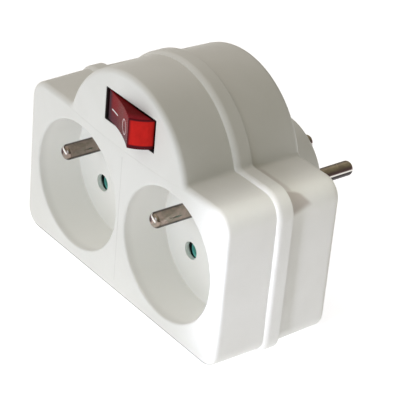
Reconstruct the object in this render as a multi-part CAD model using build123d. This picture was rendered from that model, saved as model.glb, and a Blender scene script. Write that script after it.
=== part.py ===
from build123d import *
import math
import os

os.makedirs("parts", exist_ok=True)

# ---------------------------------------------------------------- driving dimensions (mm)
# Working frame: X to the right seen from the front, Y from the front face back to the wall, Z up.
# Y = 0 is the front face and Z = 0 the height of the socket centres and of the plug pins.
# Every node is finally moved so that the origin is the centre of the plug's rear face.

# casing outlines: half width, bottom, shoulder, dome radius, lower corner, upper corner, dome joint,
# centre of the dome in X and Z
FACE = (47.4, 25.0, 24.8, 28.5, 5.8, 6.5, 1.5, 0.5, 17.1)        # front face
FACE_BACK = (47.6, 25.3, 25.2, 29.0, 6.0, 6.6, 1.5, 0.5, 17.1)   # front cover where it meets the band
BAND = (48.35, 25.9, 26.05, 30.0, 6.2, 7.5, 1.2, 0.8, 17.1)      # band around the parting line
REAR = (47.3, 24.6, 24.9, 29.1, 5.4, 6.3, 1.5, 1.2, 16.9)        # rear cover at the parting line
REAR_BACK = (47.1, 24.3, 24.6, 28.6, 5.3, 6.2, 1.5, 1.3, 16.9)   # rear cover at its rear face

# front cover
FACE_ROUND = 1.6       # rounding of the front edge
WALL = 2.0             # side wall thickness
FACE_T = 2.2           # front wall thickness
BAND_Y0 = 16.7         # front of the band
BAND_IN = 1.3          # how far the front cover's skin runs on under the band
BAND_Y1 = 22.4         # parting line
BAND_ROUND = 2.0       # rounding of the band's front edge
REBATE_Y = 19.0        # front of the rebate that takes the rear cover's tongue
REBATE_IN = 1.7        # wall of the band outside the rebate
TONGUE_GAP = 0.15
POST_Y = 20.5          # where the screw posts of the two covers meet

# rear cover
REAR_Y = 40.5          # rear face of the box
REAR_ROUND = 2.2
REAR_WALL_Y = 38.2     # inner face of the rear wall
REAR_T = 2.2           # side wall thickness
BOSS_R = 18.6          # round plug boss
BOSS_Y = 60.6          # rear face of the plug boss
BOSS_BORE_R = 16.2
BOSS_END_Y = 56.6      # inner face of the boss's end wall
BOSS_ROUND = 1.0

# sockets
PITCH = 44.5           # between the two socket centres
RECESS_R = 20.0
RECESS_DRAFT = 0.12    # radius lost from rim to floor
RECESS_D = 14.6
RIM_ROUND = 0.6
WELL_R = 21.8          # outside of the recess wall
FLOOR_T = 1.4
HOLE_OFF = 9.5         # contact holes from the socket centre
HOLE_R = 2.75
EARTH_OFF = 10.2       # earth pin from the socket centre
EARTH_SIDE = -0.3      # and across that line
PLUG_EARTH_OFF = 10.0
PIN_R = 2.4
PIN_SEAT_R = 2.6       # seated part of every pin, inside the moulding
EARTH_TIP_Y = 0.3      # tip of the earth pin below the front face
TILT = 45.0            # sockets turned about their axis

# plug
PLUG_PITCH = 19.0
PLUG_LEN = 19.0
PLUG_EARTH_R = 2.5

# switch
SW_X, SW_Z = 1.8, 33.05
OPEN_W, OPEN_H = 23.7, 10.3
ROCK_R = 11.1          # end walls of the rocker about its pivot
ROCK_H = 9.3
PIVOT_Y = 4.1
HALF_CHORD = 8.66      # half distance between the two ridges
DISH = 0.8             # depth of the dished front
ROCK_WALL = 1.2
ROCK_TILT = 18.0       # either side of the middle
TRUNNION_R = 1.5
TRUNNION_OUT = 1.25     # how far the pivots stand out of the rocker
TRUNNION_GAP = 0.05
LEVER_Y = 14.6         # hinge line of the contact lever
LEVER_TILT = 8.0
LEVER_RAISE = 16.0
LEVER_ARM = 7.0
PLUNGER_R = 1.4
PLUNGER_C = 8.6        # centre of the plunger's round tip from the rocker pivot

# screws
SCREWS = [(-40.5, -18.5), (40.5, -18.5), (-40.0, 17.3), (40.0, 17.3)]
SCREW_R = 1.5
SCREW_HEAD_R = 2.8
SCREW_SEAT_Y = 33.0

# inner layers
SHUT_Y0, SHUT_Y1 = 16.25, 18.75
SHUT_RAMP = 1.2
RETAIN_Y0, RETAIN_Y1 = 19.0, 20.2
EARTH_Y0, EARTH_Y1 = 22.6, 23.4
BAR_Y0, BAR_Y1 = 34.4, 35.2
FEED_Y0, FEED_Y1 = 36.9, 37.6
CLIP_TIP_Y = 24.4

SOCKETS = {"left": -PITCH / 2, "right": PITCH / 2}
HOLE_D = HOLE_OFF * math.sqrt(0.5)
EARTH_DX = (EARTH_SIDE - EARTH_OFF) * math.sqrt(0.5)
EARTH_DZ = (EARTH_SIDE + EARTH_OFF) * math.sqrt(0.5)


# ---------------------------------------------------------------- helpers
def grown(form, d):
    a, b, s, r, rl, ru, rj, cx, cz = form
    return (a + d, b + d, s + d, r + d, max(rl + d, 0.6), max(ru + d, 0.6), max(rj - d, 0.5), cx, cz)


def outline(form, y):
    """Closed outline of the casing in the plane Y = y."""
    a, b, s, r, rl, ru, rj, c, cz = form
    xj = math.sqrt((r + rj) ** 2 - (s + rj - cz) ** 2)
    k = r / (r + rj)
    xt, zt = xj * k, cz + (s + rj - cz) * k
    q = math.sqrt(0.5)

    def p(x, z):
        return Vector(x, y, z)

    # middle of the concave arc: from its centre along the mid direction of its two ends
    mx, mz = xt - xj, (zt - s - rj) - rj
    m = math.hypot(mx, mz)
    jx, jz = xj + mx / m * rj, s + rj + mz / m * rj
    arc = Edge.make_three_point_arc
    line = Edge.make_line
    return Wire([
        line(p(-a + rl, -b), p(a - rl, -b)),
        arc(p(a - rl, -b), p(a - rl + rl * q, -b + rl - rl * q), p(a, -b + rl)),
        line(p(a, -b + rl), p(a, s - ru)),
        arc(p(a, s - ru), p(a - ru + ru * q, s - ru + ru * q), p(a - ru, s)),
        line(p(a - ru, s), p(c + xj, s)),
        arc(p(c + xj, s), p(c + jx, jz), p(c + xt, zt)),
        arc(p(c + xt, zt), p(c, cz + r), p(c - xt, zt)),
        arc(p(c - xt, zt), p(c - jx, jz), p(c - xj, s)),
        line(p(c - xj, s), p(-a + ru, s)),
        arc(p(-a + ru, s), p(-a + ru - ru * q, s - ru + ru * q), p(-a, s - ru)),
        line(p(-a, s - ru), p(-a, -b + rl)),
        arc(p(-a, -b + rl), p(-a + rl - rl * q, -b + rl - rl * q), p(-a + rl, -b)),
    ])


def slab(form0, y0, form1, y1):
    """Casing block between two outlines; straight where they agree."""
    if form0 == form1:
        return Solid.extrude(Face(outline(form0, y0)), Vector(0, y1 - y0, 0))
    return Solid.make_loft([outline(form0, y0), outline(form1, y1)], True)


def cyl(x, z, r, y0, y1):
    return Solid.make_cylinder(r, y1 - y0, Plane((x, y0, z), z_dir=(0, 1, 0)))


def cone(x, z, r0, r1, y0, y1):
    return Solid.make_cone(r0, r1, y1 - y0, Plane((x, y0, z), z_dir=(0, 1, 0)))


def block(x0, x1, y0, y1, z0, z1):
    return Solid.make_box(x1 - x0, y1 - y0, z1 - z0, Plane((x0, y0, z0)))


def prism_z(points, z0, z1):
    face = Face(Wire.make_polygon([Vector(x, y, z0) for x, y in points], close=True))
    return Solid.extrude(face, Vector(0, 0, z1 - z0))


def prism_x(points, x0, x1):
    face = Face(Wire.make_polygon([Vector(x0, y, z) for y, z in points], close=True))
    return Solid.extrude(face, Vector(x1 - x0, 0, 0))


def prism_y(points, y0, y1):
    face = Face(Wire.make_polygon([Vector(x, y0, z) for x, z in points], close=True))
    return Solid.extrude(face, Vector(0, y1 - y0, 0))


def fuse(first, *rest):
    out = first
    for r in rest:
        out = out + r
    return out


def cut(first, *rest):
    out = first
    for r in rest:
        out = out - r
    return out


def edges_at_y(shape, y, tol=1e-3):
    out = []
    for e in shape.edges():
        bb = e.bounding_box()
        if abs(bb.min.Y - y) < tol and abs(bb.max.Y - y) < tol:
            out.append(e)
    return out


def in_socket(shape, side):
    """From a socket's own axes (earth pin at -X, contact holes at +-Z) into the working frame."""
    return shape.moved(Location((SOCKETS[side], 0, 0), (0, TILT, 0)))


def one_solid(shape):
    solids = shape.solids()
    assert len(solids) == 1, f"{len(solids)} solids"
    return solids[0]


nodes = {}

# ---------------------------------------------------------------- front cover
body = slab(FACE, 0, FACE_BACK, BAND_Y0 + BAND_IN)
body = body.fillet(FACE_ROUND, edges_at_y(body, 0))
band = slab(BAND, BAND_Y0, BAND, BAND_Y1)
band = band.fillet(BAND_ROUND, edges_at_y(band, BAND_Y0))
band = band.fillet(0.25, edges_at_y(band, BAND_Y1))
shell = fuse(body, band)
shell = cut(shell, slab(grown(FACE, -WALL), FACE_T, grown(FACE_BACK, -WALL), BAND_Y1 + 1))
rebate = grown(BAND, -REBATE_IN)
shell = cut(shell, slab(rebate, REBATE_Y, rebate, BAND_Y1 + 1))
for side, cx in SOCKETS.items():
    shell = fuse(shell, cyl(cx, 0, WELL_R, FACE_T - 0.5, RECESS_D + FLOOR_T))
for sx, sz in SCREWS:
    shell = fuse(shell, cyl(sx, sz, 3.0, FACE_T - 0.5, POST_Y))
for side, cx in SOCKETS.items():
    extras = fuse(
        block(15.6, 17.2, RECESS_D + 0.7, RETAIN_Y0 - 0.1, -2.6, 2.6),      # spring abutment
        block(-4.7, -3.7, RECESS_D + 0.7, RETAIN_Y0 - 0.1, -4.0, 4.0),      # rest stop of the shutter
        block(-3.4, 9.9, RECESS_D + 0.7, RETAIN_Y0 - 0.1, 13.3, 14.7),      # guide rails
    )
    extras = fuse(extras, block(-3.4, 9.9, RECESS_D + 0.7, RETAIN_Y0 - 0.1, -14.7, -13.3))
    for peg in (-10.4, 10.4):
        extras = fuse(extras, cyl(13.6, peg, 1.2, RECESS_D + 0.7, RETAIN_Y1 + 0.5))
    shell = fuse(shell, in_socket(extras, side))
for side, cx in SOCKETS.items():
    recess = cone(cx, 0, RECESS_R, RECESS_R - RECESS_DRAFT, 0, RECESS_D)
    shell = cut(shell, recess)
    for v in (-HOLE_OFF, HOLE_OFF):
        shell = cut(shell, in_socket(cyl(0, v, HOLE_R, RECESS_D - 1, RECESS_D + FLOOR_T + 1), side))
    shell = cut(shell, in_socket(cyl(-EARTH_OFF, EARTH_SIDE, PIN_SEAT_R, RECESS_D - 1, RECESS_D + FLOOR_T + 1), side))
shell = cut(shell, block(SW_X - OPEN_W / 2, SW_X + OPEN_W / 2, -1, FACE_T + 1, SW_Z - OPEN_H / 2, SW_Z + OPEN_H / 2))
for sx, sz in SCREWS:
    shell = cut(shell, cyl(sx, sz, SCREW_R, 7.0, POST_Y + 1))
front = one_solid(shell)
rims = []
for e in edges_at_y(front, 0):
    c = e.arc_center if e.geom_type == GeomType.CIRCLE else None
    if c is not None and abs(abs(c.X) - PITCH / 2) < 0.01 and abs(e.radius - RECESS_R) < 0.01:
        rims.append(e)
front = front.fillet(RIM_ROUND, rims)
nodes["front_cover"] = one_solid(front)

# ---------------------------------------------------------------- rear cover
rear = slab(REAR, BAND_Y1, REAR_BACK, REAR_Y)
rear = rear.fillet(REAR_ROUND, edges_at_y(rear, REAR_Y))
tongue = grown(BAND, -REBATE_IN - TONGUE_GAP)
rear = fuse(rear, slab(tongue, REBATE_Y + 0.3, tongue, BAND_Y1 + 0.5))
boss = cyl(0, 0, BOSS_R, REAR_Y - 1.0, BOSS_Y)
boss = boss.fillet(BOSS_ROUND, edges_at_y(boss, BOSS_Y))
rear = fuse(rear, boss)
rear = cut(rear, slab(grown(REAR, -REAR_T), REBATE_Y - 1, grown(REAR_BACK, -REAR_T), REAR_WALL_Y))
rear = cut(rear, cyl(0, 0, BOSS_BORE_R, REAR_WALL_Y - 1, BOSS_END_Y))
for px in (-PLUG_PITCH / 2, PLUG_PITCH / 2):
    rear = fuse(rear, cut(cyl(px, 0, 4.4, BOSS_END_Y - 3.6, BOSS_END_Y + 0.5), cyl(px, 0, 3.4, BOSS_END_Y - 4, BOSS_END_Y)))
for sx, sz in SCREWS:
    rear = fuse(rear, cyl(sx, sz, 4.2, POST_Y, REAR_Y - 0.5))
for px in (-PLUG_PITCH / 2, PLUG_PITCH / 2):
    rear = cut(rear, cyl(px, 0, PIN_SEAT_R, BOSS_END_Y - 1, BOSS_Y + 1))
rear = cut(rear, cyl(0, PLUG_EARTH_OFF, PLUG_EARTH_R, BOSS_END_Y - 1, BOSS_Y + 1))
for sx, sz in SCREWS:
    rear = cut(rear, cyl(sx, sz, 1.7, 19.0, SCREW_SEAT_Y + 1), cyl(sx, sz, 3.2, SCREW_SEAT_Y, REAR_Y + 1))
nodes["rear_cover"] = one_solid(rear)

# ---------------------------------------------------------------- rocker
ridge_y = -math.sqrt(ROCK_R ** 2 - HALF_CHORD ** 2)
BOTTOM_Y = 2.2
bx = math.sqrt(ROCK_R ** 2 - BOTTOM_Y ** 2)


def rocker_profile(inset, z):
    r = ROCK_R - inset
    fy = ridge_y + inset
    hx = math.sqrt(r * r - fy * fy)
    b = BOTTOM_Y + (3.0 if inset else 0.0)
    ex = math.sqrt(r * r - b * b)

    def p(x, y):
        return Vector(x, y, z)

    arc = Edge.make_three_point_arc
    return Wire([
        arc(p(-hx, fy), p(0, ridge_y + DISH + inset), p(hx, fy)),
        arc(p(hx, fy), p(r, 0), p(ex, b)),
        Edge.make_line(p(ex, b), p(-ex, b)),
        arc(p(-ex, b), p(-r, 0), p(-hx, fy)),
    ])


h = ROCK_H / 2
rock = Solid.extrude(Face(rocker_profile(0, -h)), Vector(0, 0, ROCK_H))
rock = rock.fillet(0.3, [e for e in rock.edges() if e.bounding_box().max.Y < -0.5 or e.bounding_box().min.Y < ridge_y + 0.1])
rock = cut(rock, Solid.extrude(Face(rocker_profile(ROCK_WALL, -h + ROCK_WALL)), Vector(0, 0, ROCK_H - 2 * ROCK_WALL)))
zc = Plane((0, 0, -h - TRUNNION_OUT), z_dir=(0, 0, 1))
rock = fuse(rock, Solid.make_cylinder(TRUNNION_R, TRUNNION_OUT + ROCK_WALL, zc))
rock = fuse(rock, Solid.make_cylinder(TRUNNION_R, TRUNNION_OUT + ROCK_WALL, Plane((0, 0, h - ROCK_WALL), z_dir=(0, 0, 1))))
tube = cyl(0, 0, 2.2, ridge_y + DISH + 0.6, 6.6)
rock = fuse(rock, tube)
rock = cut(rock, cyl(0, 0, PLUNGER_R + 0.1, ridge_y + DISH + ROCK_WALL, 7.6))
rocker = one_solid(rock)
rod = fuse(
    cyl(0, 0, PLUNGER_R, 3.4, PLUNGER_C),
    Solid.make_sphere(PLUNGER_R, Plane((0, PLUNGER_C, 0))),
)
plunger = one_solid(rod)
sp0, sp1 = ridge_y + DISH + ROCK_WALL + 0.35, 3.4 - 0.3
coil = Wire([Edge.make_helix((sp1 - sp0) / 7.0, sp1 - sp0, 0.95, center=(0, sp0, 0), normal=(0, 1, 0))])
wire_start = coil.position_at(0)
ring = Face(Wire.make_circle(0.2, Plane(origin=wire_start, z_dir=coil.tangent_at(0))))
plunger_spring = Solid.sweep(ring, coil, is_frenet=True)
pose = Location((SW_X, PIVOT_Y, SW_Z), (0, 0, -ROCK_TILT))
nodes["rocker_button"] = rocker.moved(pose)
nodes["rocker_plunger"] = plunger.moved(pose)
nodes["plunger_spring"] = plunger_spring.moved(pose)

# ---------------------------------------------------------------- switch housing and contacts
hx0, hx1 = SW_X - OPEN_W / 2, SW_X + OPEN_W / 2
hz0, hz1 = SW_Z - OPEN_H / 2, SW_Z + OPEN_H / 2
HT = 1.0
FLOOR_Y0, FLOOR_Y1 = 20.0, 21.2
house = block(hx0 - HT, hx1 + HT, FACE_T, FLOOR_Y1, hz0 - HT, hz1 + HT)
house = house.fillet(1.6, [e for e in house.edges() if e.bounding_box().size.Y > 5])
house = cut(house, block(hx0, hx1, FACE_T - 1, FLOOR_Y0, hz0, hz1))
house = cut(house, Solid.make_cylinder(TRUNNION_R + TRUNNION_GAP, 20, Plane((SW_X, PIVOT_Y, SW_Z - 10), z_dir=(0, 0, 1))))
TAIL_PIVOT = (SW_X - 2.0, SW_X + 2.0, SW_Z - 0.4, SW_Z + 0.4)
TAIL_FIXED = (SW_X + 6.0, SW_X + 10.0, SW_Z - 0.4, SW_Z + 0.4)
for x0, x1, z0, z1 in (TAIL_PIVOT, TAIL_FIXED):
    house = cut(house, block(x0, x1, FLOOR_Y0 - 1, FLOOR_Y1 + 1, z0, z1))
house = cut(house, Solid.make_cylinder(0.6, 4, Plane((SW_X - 9.0, FLOOR_Y0 - 1, SW_Z + 3.0), z_dir=(0, 1, 0))))
nodes["switch_housing"] = one_solid(house)

ga = math.radians(LEVER_RAISE)
ca, sa = math.cos(ga), math.sin(ga)
LT = 0.6
up = [(-LEVER_ARM * ca, -LEVER_ARM * sa), (0, 0), (LEVER_ARM * ca, -LEVER_ARM * sa)]
low = [(LEVER_ARM * ca + LT * sa, -LEVER_ARM * sa + LT * ca), (0, LT / ca), (-LEVER_ARM * ca - LT * sa, -LEVER_ARM * sa + LT * ca)]
lever = prism_z(up + low, -1.7, 1.7)
KNUCKLE_Y = 1.2
lever = fuse(lever, Solid.make_cylinder(0.8, 3.4, Plane((0, KNUCKLE_Y, -1.7), z_dir=(0, 0, 1))))
button_r = 1.2
for s in (-1, 1):
    spot = Solid.make_cylinder(button_r, 0.9, Plane((s * 5.6 * ca, -5.6 * sa + 0.2 * ca, 0), z_dir=(s * sa, ca, 0)))
    lever = fuse(lever, spot)
lever = one_solid(lever)
hinge = Location((SW_X, LEVER_Y + KNUCKLE_Y, SW_Z), (0, 0, LEVER_TILT))
lever = lever.moved(Location((0, -KNUCKLE_Y, 0))).moved(hinge)
nodes["switch_contact_lever"] = lever

kx, ky = SW_X, LEVER_Y + KNUCKLE_Y
saddle = block(kx - 2.0, kx + 2.0, ky + 0.25, 19.2, SW_Z - 1.6, SW_Z + 1.6)
saddle = cut(saddle, Solid.make_cylinder(0.85, 6, Plane((kx, ky, SW_Z - 3), z_dir=(0, 0, 1))))
post = fuse(saddle, block(kx - 2.0, kx + 2.0, 19.0, 27.0, SW_Z - 0.4, SW_Z + 0.4))
nodes["switch_pivot_terminal"] = one_solid(post)

# the lever's right contact spot in the working frame, for the fixed contact under it
tl = math.radians(LEVER_TILT)
spot_l = (5.6 * ca + 1.1 * sa, -5.6 * sa + 1.1 * ca - KNUCKLE_Y)
fx = kx + spot_l[0] * math.cos(tl) - spot_l[1] * math.sin(tl)
fy = ky + spot_l[0] * math.sin(tl) + spot_l[1] * math.cos(tl)
nrm = (math.sin(ga - tl), math.cos(ga - tl))
fixed = Solid.make_cylinder(1.2, 0.8, Plane((fx + 0.06 * nrm[0], fy + 0.06 * nrm[1], SW_Z), z_dir=(nrm[0], nrm[1], 0)))
fixed = fuse(
    fixed,
    block(fx - 0.8, SW_X + 10.0, fy + 0.75, fy + 1.5, SW_Z - 1.6, SW_Z + 1.6),
)
fixed = fuse(fixed, block(SW_X + 9.2, SW_X + 10.0, fy + 0.75, 20.0, SW_Z - 1.6, SW_Z + 1.6))
fixed = fuse(fixed, block(SW_X + 6.0, SW_X + 10.0, 19.2, 20.0, SW_Z - 1.6, SW_Z + 1.6))
fixed = fuse(fixed, block(SW_X + 6.0, SW_X + 10.0, 19.2, 27.0, SW_Z - 0.4, SW_Z + 0.4))
nodes["switch_fixed_terminal"] = one_solid(fixed)

# neon lamp: glass capsule lying along X at the left of the housing
lamp_x0, lamp_x1, lamp_y, lamp_z = SW_X - 10.6, SW_X - 5.2, 12.6, SW_Z + 3.4
lamp = Solid.make_cylinder(1.4, lamp_x1 - lamp_x0, Plane((lamp_x0, lamp_y, lamp_z), z_dir=(1, 0, 0)))
lamp = lamp.fillet(0.9, [e for e in lamp.edges() if e.geom_type == GeomType.CIRCLE])
nodes["neon_lamp"] = lamp
res_z = SW_Z - 3.4
res = Solid.make_cylinder(1.0, 4.6, Plane((SW_X - 10.4, 14.0, res_z), z_dir=(1, 0, 0)))
res = res.fillet(0.35, [e for e in res.edges() if e.geom_type == GeomType.CIRCLE])
nodes["lamp_resistor"] = res

# insulated wire from the lamp's resistor through the housing floor to the neutral bar
WIRE_R = 0.5
wx = SW_X - 9.0
path = FilletPolyline((wx, 14.0 + 1.0, SW_Z + 3.0), (wx, 27.5, SW_Z + 3.0), (wx, 27.5, -4.4), (wx, BAR_Y0, -4.4), radius=3.0)
wire_path = Wire(path.edges())
ring = Face(Wire.make_circle(WIRE_R, Plane(origin=wire_path.position_at(0), z_dir=(0, 1, 0))))
nodes["lamp_lead"] = Solid.sweep(ring, wire_path)

# ---------------------------------------------------------------- shutters
for side, cx in SOCKETS.items():
    pad_profile = [(-3.5, SHUT_Y0 + SHUT_RAMP), (-3.5, SHUT_Y1), (3.5, SHUT_Y1), (3.5, SHUT_Y0), (2.4, SHUT_Y0)]
    slider = prism_z(pad_profile, 5.6, 13.1)
    slider = fuse(slider, prism_z(pad_profile, -13.1, -5.6))
    slider = fuse(slider, block(-3.5, 3.5, SHUT_Y0, SHUT_Y1, -5.7, 5.7))
    slider = fuse(slider, Solid.make_cylinder(0.85, 2.0, Plane((3.4, (SHUT_Y0 + SHUT_Y1) / 2, 0), z_dir=(1, 0, 0))))
    nodes[f"shutter_{side}"] = one_solid(in_socket(slider, side))
    y_mid = (SHUT_Y0 + SHUT_Y1) / 2
    u0, u1 = 3.5 + 0.25, 15.6 - 0.25
    helix = Wire([Edge.make_helix((u1 - u0) / 9.0, u1 - u0, 1.1, center=(u0, y_mid, 0), normal=(1, 0, 0))])
    ring = Face(Wire.make_circle(0.15, Plane(origin=helix.position_at(0), z_dir=helix.tangent_at(0))))
    nodes[f"shutter_spring_{side}"] = in_socket(Solid.sweep(ring, helix, is_frenet=True), side)
    plate = cyl(0, 0, 20.3, RETAIN_Y0, RETAIN_Y1)
    for v in (-HOLE_OFF, HOLE_OFF):
        plate = cut(plate, cyl(0, v, 3.1, RETAIN_Y0 - 1, RETAIN_Y1 + 1))
        plate = cut(plate, cyl(13.6, v / HOLE_OFF * 10.4, 1.25, RETAIN_Y0 - 1, RETAIN_Y1 + 1))
    plate = cut(plate, cyl(-EARTH_OFF, EARTH_SIDE, 3.9, RETAIN_Y0 - 1, RETAIN_Y1 + 1))
    nodes[f"shutter_retainer_{side}"] = one_solid(in_socket(plate, side))

# ---------------------------------------------------------------- earth path
for side, cx in SOCKETS.items():
    pin = cyl(-EARTH_OFF, EARTH_SIDE, PIN_R, EARTH_TIP_Y, RECESS_D + FLOOR_T)
    pin = pin.fillet(1.5, edges_at_y(pin, EARTH_TIP_Y))
    pin = fuse(pin, cyl(-EARTH_OFF, EARTH_SIDE, PIN_SEAT_R, RECESS_D, RECESS_D + FLOOR_T))
    pin = fuse(pin, cyl(-EARTH_OFF, EARTH_SIDE, 3.5, RECESS_D + FLOOR_T, RECESS_D + FLOOR_T + 1.2))
    pin = fuse(pin, cyl(-EARTH_OFF, EARTH_SIDE, 2.4, RECESS_D + FLOOR_T + 1, EARTH_Y0))
    pin = fuse(pin, cyl(-EARTH_OFF, EARTH_SIDE, 1.7, EARTH_Y0 - 0.5, EARTH_Y1))
    pin = fuse(pin, cyl(-EARTH_OFF, EARTH_SIDE, 2.5, EARTH_Y1, EARTH_Y1 + 0.9))
    nodes[f"socket_earth_pin_{side}"] = one_solid(in_socket(pin, side))
ex = [cx + EARTH_DX for cx in SOCKETS.values()]
strip = block(ex[0] - 3.0, ex[1] + 3.0, EARTH_Y0, EARTH_Y1, 12.6, 16.4)
for x in ex:
    strip = fuse(strip, block(x - 3.0, x + 3.0, EARTH_Y0, EARTH_Y1, EARTH_DZ - 3.0, 13.0))
LEG_X0, LEG_X1 = -4.2, -3.4
strip = fuse(strip, block(LEG_X0, LEG_X1, EARTH_Y0, 54.0, 9.8, 11.8))
strip = fuse(strip, block(-8.0, LEG_X1, EARTH_Y0, EARTH_Y1, 9.8, 13.0))
for x in ex:
    strip = cut(strip, cyl(x, EARTH_DZ, 1.7, EARTH_Y0 - 1, EARTH_Y1 + 1))
nodes["earth_bar"] = one_solid(strip)
sleeve = cut(cyl(0, PLUG_EARTH_OFF, 3.3, 44.0, BOSS_END_Y - 0.1), cyl(0, PLUG_EARTH_OFF, 2.5, 43.0, BOSS_END_Y + 1))
sleeve = cut(sleeve, block(1.5, 4.0, 43.0, 58.0, PLUG_EARTH_OFF - 0.5, PLUG_EARTH_OFF + 0.5))
sleeve = fuse(sleeve, block(LEG_X1, -2.6, 46.0, 53.0, PLUG_EARTH_OFF - 1.5, PLUG_EARTH_OFF + 1.5))
sleeve = cut(sleeve, cyl(0, PLUG_EARTH_OFF, 2.5, 43.0, BOSS_END_Y + 1))
nodes["plug_earth_sleeve"] = one_solid(sleeve)

# ---------------------------------------------------------------- plug pins
for side, px in (("left", -PLUG_PITCH / 2), ("right", PLUG_PITCH / 2)):
    pin = cyl(px, 0, PIN_R, BOSS_END_Y - 0.5, BOSS_Y + PLUG_LEN)
    pin = pin.fillet(1.6, edges_at_y(pin, BOSS_Y + PLUG_LEN))
    pin = fuse(pin, cyl(px, 0, PIN_SEAT_R, BOSS_END_Y, BOSS_Y))
    pin = fuse(pin, cyl(px, 0, 3.3, BOSS_END_Y - 2.4, BOSS_END_Y))
    pin = fuse(pin, cyl(px, 0, 1.5, 49.0, 55.0))
    nodes[f"plug_pin_{side}"] = one_solid(pin)


# ---------------------------------------------------------------- live and neutral strips
def clip(cx, cz):
    """Two sprung leaves either side of a contact hole."""
    out = None
    for s in (-1, 1):
        leaf = prism_z(
            [(cx + s * 2.9, BAR_Y0 + 0.4), (cx + s * 2.0, 27.4), (cx + s * 3.4, CLIP_TIP_Y),
             (cx + s * 4.0, CLIP_TIP_Y), (cx + s * 2.6, 27.4), (cx + s * 3.5, BAR_Y0 + 0.4)],
            cz - 2.4, cz + 2.4,
        )
        out = leaf if out is None else out + leaf
    return out


TAB_Y0, TAB_Y1 = 50.4, 51.2
nz = -HOLE_D
holes_n = [cx - HOLE_D for cx in SOCKETS.values()]
holes_l = [cx + HOLE_D for cx in SOCKETS.values()]
bar = block(holes_n[0] - 3.6, holes_n[1] + 3.6, BAR_Y0, BAR_Y1, nz - 2.4, nz + 2.4)
for x in holes_n:
    bar = fuse(bar, clip(x, nz))
bar = fuse(bar, block(-10.2, -7.2, BAR_Y0, TAB_Y1, nz - 0.4, nz + 0.4))
bar = fuse(bar, block(-10.2, -7.2, TAB_Y0, TAB_Y1, nz - 0.4, 0.0))
bar = fuse(bar, block(-PLUG_PITCH / 2 - 2.0, -PLUG_PITCH / 2 + 2.3, TAB_Y0, TAB_Y1, -4.4, 2.4))
bar = cut(bar, cyl(-PLUG_PITCH / 2, 0, 1.5, TAB_Y0 - 1, TAB_Y1 + 1))
nodes["neutral_bar"] = one_solid(bar)

lz = HOLE_D
bar = block(holes_l[0] - 3.6, holes_l[1] + 3.6, BAR_Y0, BAR_Y1, lz - 1.6, lz + 1.6)
for x in holes_l:
    bar = fuse(bar, block(x - 3.6, x + 3.6, BAR_Y0, BAR_Y1, lz - 2.4, lz + 2.4), clip(x, lz))
LX0, LX1 = SW_X + 6.2, SW_X + 9.8
bar = fuse(bar, block(LX0, LX1, BAR_Y0, BAR_Y1, lz, SW_Z + 1.2))
bar = fuse(bar, block(LX0, LX1, 23.0, BAR_Y1, SW_Z + 0.4, SW_Z + 1.2))
nodes["line_bar"] = one_solid(bar)

feed = block(PLUG_PITCH / 2 - 2.0, PLUG_PITCH / 2 + 2.0, TAB_Y0, TAB_Y1, -2.4, 5.8)
feed = cut(feed, block(10.9, 13.0, TAB_Y0 - 1, TAB_Y1 + 1, 4.0, 7.0))
feed = fuse(feed, block(PLUG_PITCH / 2 - 2.0, 10.9, FEED_Y0, TAB_Y1, 5.0, 5.8))
feed = fuse(feed, block(0.0, 10.9, FEED_Y0, FEED_Y1, 5.0, 9.0))
feed = fuse(feed, block(0.0, 3.6, FEED_Y0, FEED_Y1, 5.0, SW_Z - 0.4))
feed = fuse(feed, block(0.0, 3.6, 23.0, FEED_Y1, SW_Z - 1.2, SW_Z - 0.4))
feed = cut(feed, cyl(PLUG_PITCH / 2, 0, 1.5, TAB_Y0 - 1, TAB_Y1 + 1))
nodes["line_feed_strip"] = one_solid(feed)

# ---------------------------------------------------------------- screws
screws = []
for sx, sz in SCREWS:
    s = cyl(sx, sz, SCREW_R, 10.5, SCREW_SEAT_Y + 0.5)
    s = s.chamfer(0.9, None, edges_at_y(s, 10.5))
    head = cyl(sx, sz, SCREW_HEAD_R, SCREW_SEAT_Y, SCREW_SEAT_Y + 2.0)
    head = head.fillet(0.9, edges_at_y(head, SCREW_SEAT_Y + 2.0))
    s = fuse(s, head)
    for w, l in ((0.8, 3.4), (3.4, 0.8)):
        s = cut(s, block(sx - w / 2, sx + w / 2, SCREW_SEAT_Y + 0.8, SCREW_SEAT_Y + 3, sz - l / 2, sz + l / 2))
    screws.append(one_solid(s))
nodes["housing_screws"] = Compound(children=screws)

# ---------------------------------------------------------------- write
shift = Location((0, -BOSS_Y, 0))
for name, shape in nodes.items():
    export_step(shape.moved(shift), f"parts/{name}.step")
    print(name, round(shape.volume, 2))
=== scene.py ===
import bpy
import bmesh
import math
from mathutils import Matrix, Vector
from mathutils.bvhtree import BVHTree


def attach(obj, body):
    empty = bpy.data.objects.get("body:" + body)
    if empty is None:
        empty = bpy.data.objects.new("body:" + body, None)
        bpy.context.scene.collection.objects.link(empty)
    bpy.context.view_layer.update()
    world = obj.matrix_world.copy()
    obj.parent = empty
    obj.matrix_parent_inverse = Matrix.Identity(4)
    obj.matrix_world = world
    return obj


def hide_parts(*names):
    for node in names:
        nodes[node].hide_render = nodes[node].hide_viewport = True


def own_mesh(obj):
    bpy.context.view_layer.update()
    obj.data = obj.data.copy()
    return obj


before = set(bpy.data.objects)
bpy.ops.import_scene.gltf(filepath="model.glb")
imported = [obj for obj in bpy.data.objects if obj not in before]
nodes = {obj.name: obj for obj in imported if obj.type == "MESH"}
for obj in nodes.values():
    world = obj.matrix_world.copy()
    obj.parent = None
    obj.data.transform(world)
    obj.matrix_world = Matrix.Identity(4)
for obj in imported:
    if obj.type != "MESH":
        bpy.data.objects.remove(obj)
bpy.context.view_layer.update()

MM = 0.001
FACE_Y = -60.6                      # front face, mm
PIVOT = (1.8, 4.1 + FACE_Y, 33.05)  # rocker pivot, mm
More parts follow.
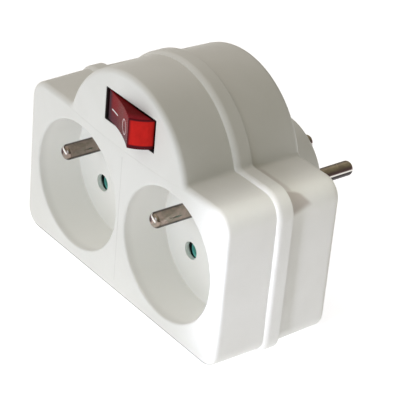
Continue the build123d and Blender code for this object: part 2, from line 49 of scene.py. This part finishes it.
TILT = -18.0                        # rocker about Z at rest, degrees
FLOOR_Z = -25.9                     # what the part stands on, mm
ROCK_TOP = 4.65                     # half height of the rocker, mm


# ---------------------------------------------------------------- camera
RIGHT = (0.6022989837651356, 0.7941905109012468, 0.08060624386423931)
DOWN = (0.4431133318502635, -0.24863149391114892, -0.8612972514597199)
AHEAD = (-0.6639928533441026, 0.5544761605605117, -0.501666899524007)
EYE = (0.36203070808, -0.33365771488, 0.27141945043)
FOCAL_PX = 1847.8327728835836       # for a picture 400 wide

cam_data = bpy.data.cameras.new("camera")
cam = bpy.data.objects.new("camera", cam_data)
bpy.context.scene.collection.objects.link(cam)
cam.matrix_world = Matrix((
    (RIGHT[0], -DOWN[0], -AHEAD[0], EYE[0]),
    (RIGHT[1], -DOWN[1], -AHEAD[1], EYE[1]),
    (RIGHT[2], -DOWN[2], -AHEAD[2], EYE[2]),
    (0, 0, 0, 1),
))
cam_data.sensor_fit = "HORIZONTAL"
cam_data.sensor_width = 36.0
cam_data.lens = FOCAL_PX * 36.0 / 400.0
cam_data.clip_start = 0.01
cam_data.clip_end = 50.0
cam_data.dof.use_dof = False
bpy.context.scene.camera = cam
bpy.context.scene.view_settings.view_transform = "Standard"


# ---------------------------------------------------------------- shader helpers
class Shader:
    """A principled material with a few short ways to wire its nodes."""

    def __init__(self, name, **sockets):
        self.mat = bpy.data.materials.new(name)
        self.mat.use_nodes = True
        self.tree = self.mat.node_tree
        self.tree.nodes.clear()
        out = self.tree.nodes.new("ShaderNodeOutputMaterial")
        self.bsdf = self.tree.nodes.new("ShaderNodeBsdfPrincipled")
        self.link(self.bsdf.outputs[0], out.inputs["Surface"])
        for key, value in sockets.items():
            self.bsdf.inputs[key.replace("_", " ")].default_value = value
        coord = self.tree.nodes.new("ShaderNodeTexCoord")
        self.place = coord.outputs["Object"]

    def link(self, a, b):
        self.tree.links.new(a, b)

    def feed(self, node, socket, value):
        if isinstance(value, bpy.types.NodeSocket):
            self.link(value, node.inputs[socket])
        else:
            node.inputs[socket].default_value = value

    def local(self, origin=(0, 0, 0), turn=(0, 0, 0), unit=MM, stretch=(1, 1, 1)):
        """Coordinates in mm about an origin given in mm, turned back by turn degrees."""
        n = self.tree.nodes.new("ShaderNodeMapping")
        n.vector_type = "TEXTURE"
        n.inputs["Location"].default_value = [c * MM for c in origin]
        n.inputs["Rotation"].default_value = [math.radians(a) for a in turn]
        n.inputs["Scale"].default_value = [unit * s for s in stretch]
        self.link(self.place, n.inputs["Vector"])
        return n.outputs["Vector"]

    def noise(self, where, scale, detail=3.0, rough=0.5, distortion=0.0):
        n = self.tree.nodes.new("ShaderNodeTexNoise")
        self.link(where, n.inputs["Vector"])
        n.inputs["Scale"].default_value = scale
        n.inputs["Detail"].default_value = detail
        n.inputs["Roughness"].default_value = rough
        n.inputs["Distortion"].default_value = distortion
        return n.outputs["Fac"]

    def math(self, op, a, b=0.0, clamp=False):
        n = self.tree.nodes.new("ShaderNodeMath")
        n.operation = op
        n.use_clamp = clamp
        self.feed(n, 0, a)
        self.feed(n, 1, b)
        return n.outputs[0]

    def axes(self, where):
        n = self.tree.nodes.new("ShaderNodeSeparateXYZ")
        self.link(where, n.inputs[0])
        return n.outputs[0], n.outputs[1], n.outputs[2]

    def ramp(self, value, a, b, c=0.0, d=1.0, smooth=True):
        """value from a..b mapped to c..d."""
        n = self.tree.nodes.new("ShaderNodeMapRange")
        n.interpolation_type = "SMOOTHSTEP" if smooth else "LINEAR"
        n.clamp = True
        self.feed(n, "Value", value)
        n.inputs["From Min"].default_value = a
        n.inputs["From Max"].default_value = b
        n.inputs["To Min"].default_value = c
        n.inputs["To Max"].default_value = d
        return n.outputs["Result"]

    def mix(self, fac, a, b):
        n = self.tree.nodes.new("ShaderNodeMix")
        n.data_type = "RGBA"
        self.feed(n, 0, fac)
        for socket, value in ((6, a), (7, b)):
            if isinstance(value, bpy.types.NodeSocket):
                self.link(value, n.inputs[socket])
            else:
                n.inputs[socket].default_value = (*value, 1.0)
        return n.outputs[2]

    def bump(self, height, distance, strength=1.0):
        n = self.tree.nodes.new("ShaderNodeBump")
        n.inputs["Strength"].default_value = strength
        n.inputs["Distance"].default_value = distance
        self.link(height, n.inputs["Height"])
        self.link(n.outputs["Normal"], self.bsdf.inputs["Normal"])

    def colour(self, socket):
        self.link(socket, self.bsdf.inputs["Base Color"])

    def rough(self, socket):
        self.link(socket, self.bsdf.inputs["Roughness"])


def moulded(name, light, dark, rough=(0.36, 0.5), grain=3.2, depth=0.010, ior=1.5):
    """Moulded plastic: a fine spark-eroded grain, faint flow clouds, uneven gloss."""
    s = Shader(name, IOR=ior)
    mm = s.local()
    cloud = s.noise(mm, 0.06, 4.0, 0.55, 0.6)
    grain_f = s.noise(mm, grain, 3.0, 0.6)
    speck = s.noise(mm, grain * 0.35, 2.0, 0.5)
    tone = s.math("ADD", s.math("MULTIPLY", cloud, 0.7), s.math("MULTIPLY", grain_f, 0.3))
    s.colour(s.mix(s.ramp(tone, 0.35, 0.65), dark, light))
    s.rough(s.ramp(speck, 0.3, 0.7, rough[0], rough[1]))
    s.bump(s.math("ADD", grain_f, s.math("MULTIPLY", speck, 0.6)), depth * MM)
    return s


def metal(name, light, dark, rough=(0.2, 0.34), along="Y", depth=0.004, streak=9.0):
    """Drawn or turned metal: fine lines round or along the piece and uneven tarnish."""
    s = Shader(name, Metallic=1.0)
    flat = {"X": (9.0, 1, 1), "Y": (1, 9.0, 1), "Z": (1, 1, 9.0)}[along]
    lines = s.noise(s.local(stretch=flat), streak, 4.0, 0.65)
    stain = s.noise(s.local(), 0.35, 4.0, 0.6, 0.8)
    s.colour(s.mix(s.ramp(stain, 0.35, 0.68), light, dark))
    s.rough(s.ramp(lines, 0.3, 0.7, rough[0], rough[1]))
    s.bump(lines, depth * MM)
    return s


# ---------------------------------------------------------------- materials
casing = moulded("casing_abs", (0.818, 0.814, 0.790), (0.788, 0.783, 0.755), (0.42, 0.56))

# front cover: the same moulding, with painted light inside the two recesses: their walls, and their floors still more,
# coloured lighter than the casing to offset the recesses' shade
s = moulded("casing_abs_front", (0.818, 0.814, 0.790), (0.788, 0.783, 0.755), (0.42, 0.56))
tone = s.bsdf.inputs["Base Color"].links[0].from_socket
recess_painted_light = None
for x in (-22.25, 22.25):
    ax, ay, az = s.axes(s.local((x, FACE_Y, 0)))
    r = s.math("SQRT", s.math("ADD", s.math("MULTIPLY", ax, ax), s.math("MULTIPLY", az, az)))
    recess_light_mask = s.math("MULTIPLY", s.ramp(r, 20.1, 20.5, 1.0, 0.0), s.ramp(ay, 0.3, 3.5))
    recess_painted_light = recess_light_mask if recess_painted_light is None else s.math("ADD", recess_painted_light, recess_light_mask, True)
# painted light: lighter colour on the recess walls and floors
tone = s.mix(recess_painted_light, tone, s.mix(s.ramp(ay, 14.15, 14.42), (0.905, 0.902, 0.874), (0.980, 0.970, 0.938)))
ax, ay, az = s.axes(s.local((0, FACE_Y, 0)))
# painted shade: a grey line along the bottom front edge, where the underside is shaded
painted_edge_shade = s.math("MULTIPLY", s.ramp(az, -23.50, -23.85), s.ramp(ay, 1.4, 2.2, 1.0, 0.0))
s.colour(s.mix(painted_edge_shade, tone, (0.42, 0.42, 0.41)))
casing_front = s

# rear cover: the same moulding, with a painted grey-brown shadow of the band on the right shoulder corner and painted
# shade along the band's rear edge
s = moulded("casing_abs_rear", (0.818, 0.814, 0.790), (0.788, 0.783, 0.755), (0.42, 0.56))
tone = s.bsdf.inputs["Base Color"].links[0].from_socket
ax, ay, az = s.axes(s.local((0, FACE_Y, 0)))
# painted shadow: the triangle the band shades on the rear right corner
steep = s.ramp(s.math("ADD", ay, s.math("MULTIPLY", az, 4.0)), 123.2, 120.6)
flat = s.ramp(s.math("ADD", ay, s.math("MULTIPLY", az, 0.95)), 50.2, 48.6)
under = s.ramp(s.math("SUBTRACT", az, s.math("MULTIPLY", ay, 0.27)), 11.9, 14.0)
band_painted_shadow = s.math("MULTIPLY", s.math("MULTIPLY", steep, flat), s.math("MULTIPLY", under, s.ramp(ax, 41.5, 43.2)))
# painted shade: a strip right behind the band on the shoulder top
strip = s.math("MULTIPLY", s.math("MULTIPLY", s.ramp(ay, 25.5, 24.2), s.ramp(ax, 28.0, 33.0)), s.ramp(az, 23.6, 24.4))
band_painted_shadow = s.math("MAXIMUM", s.math("MULTIPLY", band_painted_shadow, 0.76), s.math("MULTIPLY", strip, 0.45))
s.colour(s.mix(band_painted_shadow, tone, (0.46, 0.405, 0.375)))
casing_rear = s


def polar(s, x, z):
    """Across-the-pin coordinates in mm: right, depth, up, distance from the axis, and height across the lit side."""
    px, py, pz = s.axes(s.local((x, FACE_Y, z)))
    far = s.math("SQRT", s.math("ADD", s.math("MULTIPLY", px, px), s.math("MULTIPLY", pz, pz)))
    rise = s.math("ADD", s.math("MULTIPLY", px, -0.603), s.math("MULTIPLY", pz, 0.798))
    return px, py, pz, far, rise


# earth pins: tarnished nickel, the left pin's colours scaled darker and the right's lighter as painted shade and light,
# with painted dark reflections along both flanks, painted shade at the root, a painted dark reflection on the tip's
# upper left and a painted highlight across the tip
earth = {}
for side, x, side_light_scale in (("left", -22.25, 0.86), ("right", 22.25, 1.16)):
    s = metal("pin_nickel_" + side, [c * side_light_scale for c in (0.320, 0.252, 0.215)], [c * side_light_scale for c in (0.215, 0.192, 0.155)], (0.10, 0.19), "Y", 0.002)
    tone = s.bsdf.inputs["Base Color"].links[0].from_socket
    px, py, pz, far, rise = polar(s, x - 7.425, 7.0)
    # painted reflection and shade: dark along both flanks and at the root
    flank_painted_dark = s.math("MAXIMUM", s.ramp(s.math("ABSOLUTE", rise), 1.65, 2.12), s.ramp(py, 13.55, 13.95))
    tone = s.mix(s.math("MULTIPLY", flank_painted_dark, 0.93), tone, (0.030, 0.020, 0.018))
    tip = s.ramp(py, 1.5, 0.7)
    streak = s.math("ADD", s.math("MULTIPLY", px, 0.52), s.math("MULTIPLY", pz, 0.854))
    # painted highlight: a near-white band across the tip
    tip_painted_highlight = s.math("MULTIPLY", tip, s.ramp(s.math("ABSOLUTE", s.math("SUBTRACT", streak, 0.90)), 0.40, 0.20))
    tip_painted_highlight = s.math("MULTIPLY", tip_painted_highlight, s.ramp(s.math("SUBTRACT", s.math("MULTIPLY", px, 0.854), s.math("MULTIPLY", pz, 0.52)), 1.3, 0.7))
    # painted reflection: the tip's upper left darkened
    tone = s.mix(s.math("MULTIPLY", s.math("MULTIPLY", tip, s.ramp(px, 0.0, -0.5)), s.ramp(pz, -0.9, -0.3)), tone, (0.050, 0.020, 0.022))
    tone = s.mix(tip_painted_highlight, tone, (0.98, 0.96, 0.93))
    s.colour(tone)
    earth[side] = s

# plug pins: the same plating under a brown film, with painted reflections: darker over the lower half, a painted bright
# line low on the pin, and painted dark lines along both edges
plug = {}
for side, x in (("left", -9.5), ("right", 9.5)):
    s = metal("pin_plug_" + side, (0.575, 0.485, 0.325), (0.420, 0.335, 0.245), (0.16, 0.27), "Y", 0.002)
    s.bsdf.inputs["Metallic"].default_value = 0.62
    tone = s.bsdf.inputs["Base Color"].links[0].from_socket
    px, py, pz, far, rise = polar(s, x, 0.0)
    # painted reflections: darker lower half, a bright reflected line, dark lower and upper edges
    tone = s.mix(s.ramp(rise, 0.8, -0.4), tone, (0.225, 0.150, 0.150))
    tone = s.mix(s.ramp(rise, -0.86, -1.02), tone, (0.90, 0.88, 0.84))
    tone = s.mix(s.ramp(rise, -1.26, -1.44), tone, (0.022, 0.013, 0.014))
    tone = s.mix(s.math("MULTIPLY", s.ramp(rise, 1.5, 2.2), 0.75), tone, (0.110, 0.085, 0.075))
    s.colour(tone)
    plug[side] = s

brass = metal("contact_brass_strip", (0.72, 0.52, 0.24), (0.55, 0.37, 0.15), (0.24, 0.4), "X")
spring = metal("spring_wire", (0.55, 0.55, 0.56), (0.38, 0.38, 0.4), (0.2, 0.35), "X", 0.002)
screw = metal("screw_zinc", (0.62, 0.62, 0.60), (0.44, 0.43, 0.40), (0.25, 0.42), "Y", 0.004)

black = moulded("switch_black", (0.018, 0.018, 0.02), (0.011, 0.011, 0.012), (0.4, 0.55), 3.0, 0.012)
inner = moulded("inner_nylon", (0.62, 0.61, 0.57), (0.54, 0.53, 0.49), (0.4, 0.55), 2.6, 0.012)

# shutters: teal, with painted light in a lighter ring and a painted near-black shadow crescent under the near side of
# each hole
shutters = {}
for side, x in (("left", -22.25), ("right", 22.25)):
    s = moulded("shutter_teal_" + side, (0.075, 0.36, 0.285), (0.055, 0.30, 0.235), (0.28, 0.4), 2.6, 0.008)
    tone = s.bsdf.inputs["Base Color"].links[0].from_socket
    for hand in (-1.0, 1.0):
        px, py, pz = s.axes(s.local((x + hand * 6.718, FACE_Y, hand * 6.718 - 0.05)))
        far = s.math("SQRT", s.math("ADD", s.math("MULTIPLY", px, px), s.math("MULTIPLY", pz, pz)))
        # painted light: a lighter teal ring; painted shadow: a near-black crescent under the hole's near rim
        near = s.ramp(far, 4.2, 4.0)
        tone = s.mix(s.math("MULTIPLY", near, s.ramp(far, 1.65, 2.1)), tone, (0.175, 0.62, 0.555))
        tone = s.mix(s.math("MULTIPLY", near, s.ramp(far, 2.42, 2.66)), tone, (0.004, 0.010, 0.009))
    s.colour(tone)
    shutters[side] = s
sleeve = moulded("wire_pvc", (0.03, 0.16, 0.42), (0.02, 0.12, 0.33), (0.35, 0.5), 2.0, 0.01)

# resistor: beige lacquer with plain colour bands
s = Shader("resistor_lacquer", IOR=1.5)
mm = s.local()
lump = s.noise(mm, 1.4, 3.0, 0.5)
s.colour(s.mix(s.ramp(lump, 0.3, 0.7), (0.50, 0.36, 0.22), (0.42, 0.29, 0.17)))
s.rough(s.ramp(lump, 0.3, 0.7, 0.28, 0.4))
s.bump(lump, 0.02 * MM)
resistor = s

# lamp: thin glass with a faint warm tint
s = Shader("lamp_glass_clear", IOR=1.47, Transmission_Weight=0.85)
mm = s.local()
wave = s.noise(mm, 0.7, 2.0, 0.5)
s.colour(s.mix(s.ramp(wave, 0.3, 0.7), (0.93, 0.88, 0.82), (0.86, 0.79, 0.72)))
s.rough(s.ramp(wave, 0.3, 0.7, 0.04, 0.1))
glass = s

# rocker: clear red moulding, its colour painted per face for light through the clear plastic: bright in its lit end
# walls, dark in the dish and on the side faces, with painted shadows where the opening shades it
s = Shader("rocker_red", IOR=1.08)
local = s.local(PIVOT, (0, 0, TILT))
u, v, z = s.axes(local)
radius = s.math("SQRT", s.math("ADD", s.math("MULTIPLY", u, u), s.math("MULTIPLY", v, v)))
end = s.ramp(radius, 10.86, 11.04)
side = s.ramp(s.math("ABSOLUTE", z), ROCK_TOP - 0.20, ROCK_TOP - 0.05)
across = s.math("ABSOLUTE", u)
# painted shade: a darker border along the end walls' top and bottom
inside = s.math("MULTIPLY", s.ramp(z, -ROCK_TOP + 1.0, -ROCK_TOP + 1.5), s.ramp(z, ROCK_TOP - 0.75, ROCK_TOP - 0.35, 1.0, 0.0))
inside = s.math("MULTIPLY", inside, s.ramp(across, 8.7, 9.3))
flow = s.noise(s.local(stretch=(1, 1, 2)), 0.5, 3.0, 0.55, 0.4)
speck = s.noise(s.local(), 5.0, 2.0, 0.5)
wall = s.mix(s.ramp(flow, 0.3, 0.7), (0.74, 0.026, 0.022), (0.63, 0.021, 0.018))
wall = s.mix(inside, (0.105, 0.012, 0.018), wall)
# painted shadow: the end walls near-black behind the face plane, where the opening shades them
wall = s.mix(s.ramp(v, -0.55, 0.05), wall, (0.012, 0.002, 0.003))
# the dish colour darker towards its bottom
low = s.ramp(z, -4.2, 2.2, 1.0, 0.0)
dish = s.mix(low, (0.235, 0.014, 0.018), (0.110, 0.024, 0.034))
# painted shadow: the dish's left end darkened, shaded by the opening's edge
dish = s.mix(s.ramp(u, -8.3, -6.0), (0.050, 0.022, 0.033), dish)
band = s.math("MULTIPLY", s.ramp(across, 4.2, 0.6, 0.0, 1.0), s.ramp(flow, 0.3, 0.7, 0.25, 0.7))
dish = s.mix(band, dish, (0.170, 0.042, 0.038))
# the side faces painted dark red
dish = s.mix(side, dish, s.mix(s.ramp(radius, 7.6, 10.4), (0.150, 0.006, 0.007), (0.270, 0.010, 0.018)))
# painted shadow: a near-black line on the side faces at the face plane, the shadow of the gap
for hand in (1.0, -1.0):
    level = s.math("SUBTRACT", s.math("MULTIPLY", v, 0.951), s.math("MULTIPLY", u, hand * 0.309))
    shade = s.math("MULTIPLY", s.ramp(level, -4.50, -4.15), s.ramp(s.math("MULTIPLY", u, hand), -1.0, 4.0))
    dish = s.mix(s.math("MULTIPLY", side, shade), dish, (0.006, 0.002, 0.003))
s.colour(s.mix(end, dish, wall))
s.rough(s.ramp(speck, 0.3, 0.7, 0.20, 0.30))
s.bump(speck, 0.004 * MM)
rocker = s

# printed marks on the rocker
marks = moulded("mark_paint", (0.86, 0.83, 0.82), (0.78, 0.74, 0.74), (0.4, 0.6), 6.0, 0.006)
marks_worn = moulded("mark_paint_worn", (0.86, 0.70, 0.70), (0.68, 0.46, 0.47), (0.4, 0.6), 1.2, 0.006)

for node, shader in {
    "front_cover": casing_front, "rear_cover": casing_rear,
    "rocker_button": rocker, "rocker_plunger": black, "plunger_spring": spring,
    "switch_housing": black, "switch_contact_lever": brass, "switch_pivot_terminal": brass,
    "switch_fixed_terminal": brass, "neon_lamp": glass, "lamp_resistor": resistor, "lamp_lead": sleeve,
    "shutter_left": shutters["left"], "shutter_right": shutters["right"],
    "shutter_spring_left": spring, "shutter_spring_right": spring,
    "shutter_retainer_left": inner, "shutter_retainer_right": inner,
    "socket_earth_pin_left": earth["left"], "socket_earth_pin_right": earth["right"],
    "plug_pin_left": plug["left"], "plug_pin_right": plug["right"],
    "earth_bar": brass, "plug_earth_sleeve": brass, "neutral_bar": brass,
    "line_bar": brass, "line_feed_strip": brass, "housing_screws": screw,
}.items():
    for slot in nodes[node].material_slots:
        slot.material = shader.mat


# ---------------------------------------------------------------- pieces
def surface(node):
    mesh = nodes[node].data
    return BVHTree.FromPolygons([v.co.copy() for v in mesh.vertices], [tuple(p.vertices) for p in mesh.polygons])


def piece(name, bm, shader, body):
    mesh = bpy.data.meshes.new(name)
    bmesh.ops.recalc_face_normals(bm, faces=bm.faces)
    bm.to_mesh(mesh)
    bm.free()
    mesh.materials.append(shader.mat)
    for p in mesh.polygons:
        p.use_smooth = True
    o = bpy.data.objects.new(name, mesh)
    bpy.context.scene.collection.objects.link(o)
    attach(o, body)
    return o


def ribbon(path, closed, tree, out, width, height, sunk=0.02):
    """A low rounded bead laid on a surface along points (u along, v up), in mm. out(u, v) gives a point off the surface
    and the direction back to it."""
    bm = bmesh.new()
    n = len(path)
    rows = []
    for i in range(n):
        a = path[(i - 1) % n] if closed or i else path[i]
        b = path[(i + 1) % n] if closed or i < n - 1 else path[i]
        dx, dy = b[0] - a[0], b[1] - a[1]
        d = math.hypot(dx, dy)
        nx, ny = -dy / d, dx / d
        row = []
        for k in range(7):
            t = -1.0 + 2.0 * k / 6
            spot = (path[i][0] + nx * t * width / 2, path[i][1] + ny * t * width / 2)
            start, aim = out(*spot)
            hit = tree.ray_cast(start, aim)[0]
            lift = height * math.sqrt(max(0.0, 1 - t * t)) if abs(t) < 1 else -sunk
            row.append(bm.verts.new(hit - aim * lift * MM))
        for t in (1.0, -1.0):
            spot = (path[i][0] + nx * t * width / 2, path[i][1] + ny * t * width / 2)
            start, aim = out(*spot)
            hit = tree.ray_cast(start, aim)[0]
            row.append(bm.verts.new(hit + aim * (sunk + 0.05) * MM))
        rows.append(row)
    m = len(rows[0])
    for i in range(n if closed else n - 1):
        a, b = rows[i], rows[(i + 1) % n]
        for k in range(m):
            bm.faces.new((a[k], a[(k + 1) % m], b[(k + 1) % m], b[k]))
    if not closed:
        bm.faces.new(rows[0])
        bm.faces.new(list(reversed(rows[-1])))
    return bm


# I and O on the rocker's dish
rock_tree = surface("rocker_button")
ct, st = math.cos(math.radians(TILT)), math.sin(math.radians(TILT))
pivot = Vector(PIVOT) * MM
chord = Vector((ct, st, 0))
inward = Vector((-st, ct, 0))


def on_dish(a, b):
    return pivot + chord * (a * MM) - inward * 0.02 + Vector((0, 0, b * MM)), inward


MARK_Z = -0.55
stroke = [(-6.6 + 4.1 * i / 16, MARK_Z) for i in range(17)]
piece("mark_on", ribbon(stroke, False, rock_tree, on_dish, 0.50, 0.03), marks, "rocker")
ring = [(3.7 + 1.85 * math.cos(2 * math.pi * i / 48), MARK_Z - 0.2 + 2.15 * math.sin(2 * math.pi * i / 48)) for i in range(48)]
piece("mark_off", ribbon(ring, True, rock_tree, on_dish, 0.38, 0.03), marks_worn, "rocker")


# dark lip of the switch inside its opening
def rounded(w, h, r, y, steps=6):
    pts = []
    for cx, cz, a0 in ((w - r, h - r, 0), (r - w, h - r, 90), (r - w, r - h, 180), (w - r, r - h, 270)):
        for i in range(steps + 1):
            a = math.radians(a0 + 90.0 * i / steps)
            pts.append(Vector((PIVOT[0] + cx + r * math.cos(a), FACE_Y + y, PIVOT[2] + cz + r * math.sin(a))) * MM)
    return pts


bm = bmesh.new()
lip = ((11.83, 5.13, 0.40, 2.1), (11.83, 5.13, 0.40, 0.12), (11.80, 5.10, 0.38, 0.07), (11.72, 4.91, 0.34, 0.07), (11.68, 4.86, 0.32, 0.12), (11.68, 4.86, 0.32, 2.1))
loops = [[bm.verts.new(p) for p in rounded(*step)] for step in lip]
for a, b in zip(loops, loops[1:] + loops[:1]):
    for i in range(len(a)):
        j = (i + 1) % len(a)
        bm.faces.new((a[i], a[j], b[j], b[i]))
piece("switch_lip", bm, black, "housing")


# shutter springs: wire coils with closed ends, put in place of the model's own springs
COIL_R, WIRE_R, TURNS = 1.1, 0.15, 9.0
COIL_U0, COIL_U1 = 3.75, 15.35      # first and last wire centre along the slide, from the socket's centre, mm
SLIDE = Vector((math.sqrt(0.5), 0, -math.sqrt(0.5)))
SIDEWAYS = Vector((math.sqrt(0.5), 0, math.sqrt(0.5)))


def coil(centre):
    """A round wire wound about the slide's axis, pitched close over the first and last turn."""
    bm = bmesh.new()
    rows = []
    steps, sides, closed = 252, 8, 0.34
    free = (COIL_U1 - COIL_U0 - 2 * closed) / (TURNS - 2)
    for i in range(steps + 1):
        turn = TURNS * i / steps
        ends = min(turn, 1.0) + max(turn - TURNS + 1, 0.0)
        level = COIL_U0 + closed * ends + free * (turn - ends)
        a = 2 * math.pi * turn
        spoke = SIDEWAYS * math.cos(a) + Vector((0, 1, 0)) * math.sin(a)
        ring = []
        for k in range(sides):
            b = 2 * math.pi * k / sides
            ring.append(bm.verts.new((centre + SLIDE * (level + WIRE_R * math.sin(b)) + spoke * (COIL_R + WIRE_R * math.cos(b))) * MM))
        rows.append(ring)
    for a, b in zip(rows, rows[1:]):
        for k in range(sides):
            bm.faces.new((a[k], a[(k + 1) % sides], b[(k + 1) % sides], b[k]))
    bm.faces.new(rows[0])
    bm.faces.new(list(reversed(rows[-1])))
    return bm


for side, x in (("left", -22.25), ("right", 22.25)):
    centre = Vector((x, FACE_Y + 17.5, 0))
    wound = piece("spring_coil_" + side, coil(centre), spring, "housing")
    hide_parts("shutter_spring_" + side)
    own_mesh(wound)


# mould lines on the front face; the upright one takes a darker copy of the casing colour, painted shade along its ridge
face_tree = surface("front_cover")


def on_face(a, b):
    return Vector((a, FACE_Y - 6.0, b)) * MM, Vector((0, 1, 0))


# painted shade: the casing colour made darker for the upright line
faint = moulded("casing_mould_line", (0.715, 0.710, 0.688), (0.685, 0.680, 0.655), (0.42, 0.56))
line_v = [(-0.65, 19.9 - 40.9 * i / 60) for i in range(61)]
piece("mould_line_upright", ribbon(line_v, False, face_tree, on_face, 0.20, 0.040), faint, "housing")
line_h = [(-28.5 + 57.0 * i / 90, 22.1 + 1.5 * ((-28.5 + 57.0 * i / 90) / 28.5) ** 2) for i in range(91)]
piece("mould_line_level", ribbon(line_h, False, face_tree, on_face, 0.16, 0.035), casing, "housing")


# ---------------------------------------------------------------- floor
bm = bmesh.new()
bmesh.ops.create_grid(bm, x_segments=8, y_segments=8, size=4.0)
mesh = bpy.data.meshes.new("floor")
bm.to_mesh(mesh)
bm.free()
floor = bpy.data.objects.new("floor", mesh)
floor.location = (0, 0, FLOOR_Z * MM)
bpy.context.scene.collection.objects.link(floor)
s = Shader("floor_white", Roughness=0.9)
s.bsdf.inputs["Emission Color"].default_value = (1, 1, 1.035, 1)
s.bsdf.inputs["Specular IOR Level"].default_value = 0.1
paper = s.noise(s.local(), 0.02, 3.0, 0.5)
s.colour(s.mix(s.ramp(paper, 0.3, 0.7), (0.90, 0.90, 0.90), (0.88, 0.88, 0.88)))
fx, fy, fz = s.axes(s.local())
glow = s.math("ADD", s.ramp(fy, -105.0, -230.0, 0.63, 0.46), s.ramp(fy, -25.0, 20.0, 0.0, 0.08))
glow = s.math("ADD", glow, s.math("MULTIPLY", s.math("SUBTRACT", 0.23, glow), s.ramp(fx, 64.0, 260.0)))
glow = s.math("ADD", glow, s.math("MULTIPLY", s.ramp(fx, 48.0, 54.0), s.ramp(fx, 66.0, 120.0, 0.10, 0.0)))
s.link(glow, s.bsdf.inputs["Emission Strength"])
mesh.materials.append(s.mat)


# ---------------------------------------------------------------- light
world = bpy.data.worlds.new("studio")
bpy.context.scene.world = world
world.use_nodes = True
wt = world.node_tree
wt.nodes.clear()
w_out = wt.nodes.new("ShaderNodeOutputWorld")
w_sum = wt.nodes.new("ShaderNodeAddShader")
w_co = wt.nodes.new("ShaderNodeTexCoord")
wt.links.new(w_sum.outputs[0], w_out.inputs[0])
for i, (towards, colour) in enumerate((
    ((0.0, -0.7071, 0.7071), (0.665, 0.61, 0.51)),      # broad, from the front and above
    ((-0.7071, 0.0, 0.7071), (0.865, 0.812, 0.825)),     # broad, from the left and above
)):
    w_dot = wt.nodes.new("ShaderNodeVectorMath")
    w_dot.operation = "DOT_PRODUCT"
    w_dot.inputs[1].default_value = towards
    wt.links.new(w_co.outputs["Generated"], w_dot.inputs[0])
    w_max = wt.nodes.new("ShaderNodeMath")
    w_max.operation = "MAXIMUM"
    w_max.inputs[1].default_value = 0.0
    wt.links.new(w_dot.outputs["Value"], w_max.inputs[0])
    w_pow = wt.nodes.new("ShaderNodeMath")
    w_pow.operation = "POWER"
    w_pow.inputs[1].default_value = 4.0
    wt.links.new(w_max.outputs[0], w_pow.inputs[0])
    w_bg = wt.nodes.new("ShaderNodeBackground")
    w_bg.inputs["Color"].default_value = (*colour, 1)
    wt.links.new(w_pow.outputs[0], w_bg.inputs["Strength"])
    wt.links.new(w_bg.outputs[0], w_sum.inputs[i])
w_all = wt.nodes.new("ShaderNodeAddShader")
w_bg = wt.nodes.new("ShaderNodeBackground")
w_bg.inputs["Color"].default_value = (1.0, 1.0, 0.77, 1)
w_bg.inputs["Strength"].default_value = 0.134            # the room
wt.links.new(w_sum.outputs[0], w_all.inputs[0])
wt.links.new(w_bg.outputs[0], w_all.inputs[1])
wt.links.new(w_all.outputs[0], w_out.inputs[0])


def seen(p, az, el, d):
    """Point d mm from p, at azimuth az (0 in front, 90 to the right) and elevation el."""
    a, e = math.radians(az), math.radians(el)
    return (p[0] + d * math.sin(a) * math.cos(e), p[1] - d * math.cos(a) * math.cos(e), p[2] + d * math.sin(e))


def area(name, at, to, size, power, colour=(1, 1, 1), spread=160.0):
    data = bpy.data.lights.new(name, "AREA")
    data.shape = "RECTANGLE"
    data.size, data.size_y = size
    data.energy = power
    data.color = colour
    data.spread = math.radians(spread)
    o = bpy.data.objects.new(name, data)
    o.location = [c * MM for c in at]
    o.rotation_euler = (Vector(to) * MM - Vector(at) * MM).to_track_quat("-Z", "Y").to_euler()
    o.visible_camera = False
    bpy.context.scene.collection.objects.link(o)
    return o


area("front", (20, FACE_Y - 220, 55), (8, FACE_Y, 5), (0.12, 0.12), 0.060, (0.78, 1.0, 1.30))
area("edge", seen((50, FACE_Y, 4), 12, 10, 150), (50, FACE_Y, 4), (0.020, 0.048), 0.0032, (0.97, 1.0, 1.15), 12)
area("rim", seen((44, FACE_Y + 18, 23.5), 90, 50, 120), (44, FACE_Y + 18, 23.5), (0.05, 0.008), 0.00048, (1, 1, 0.93), 6)
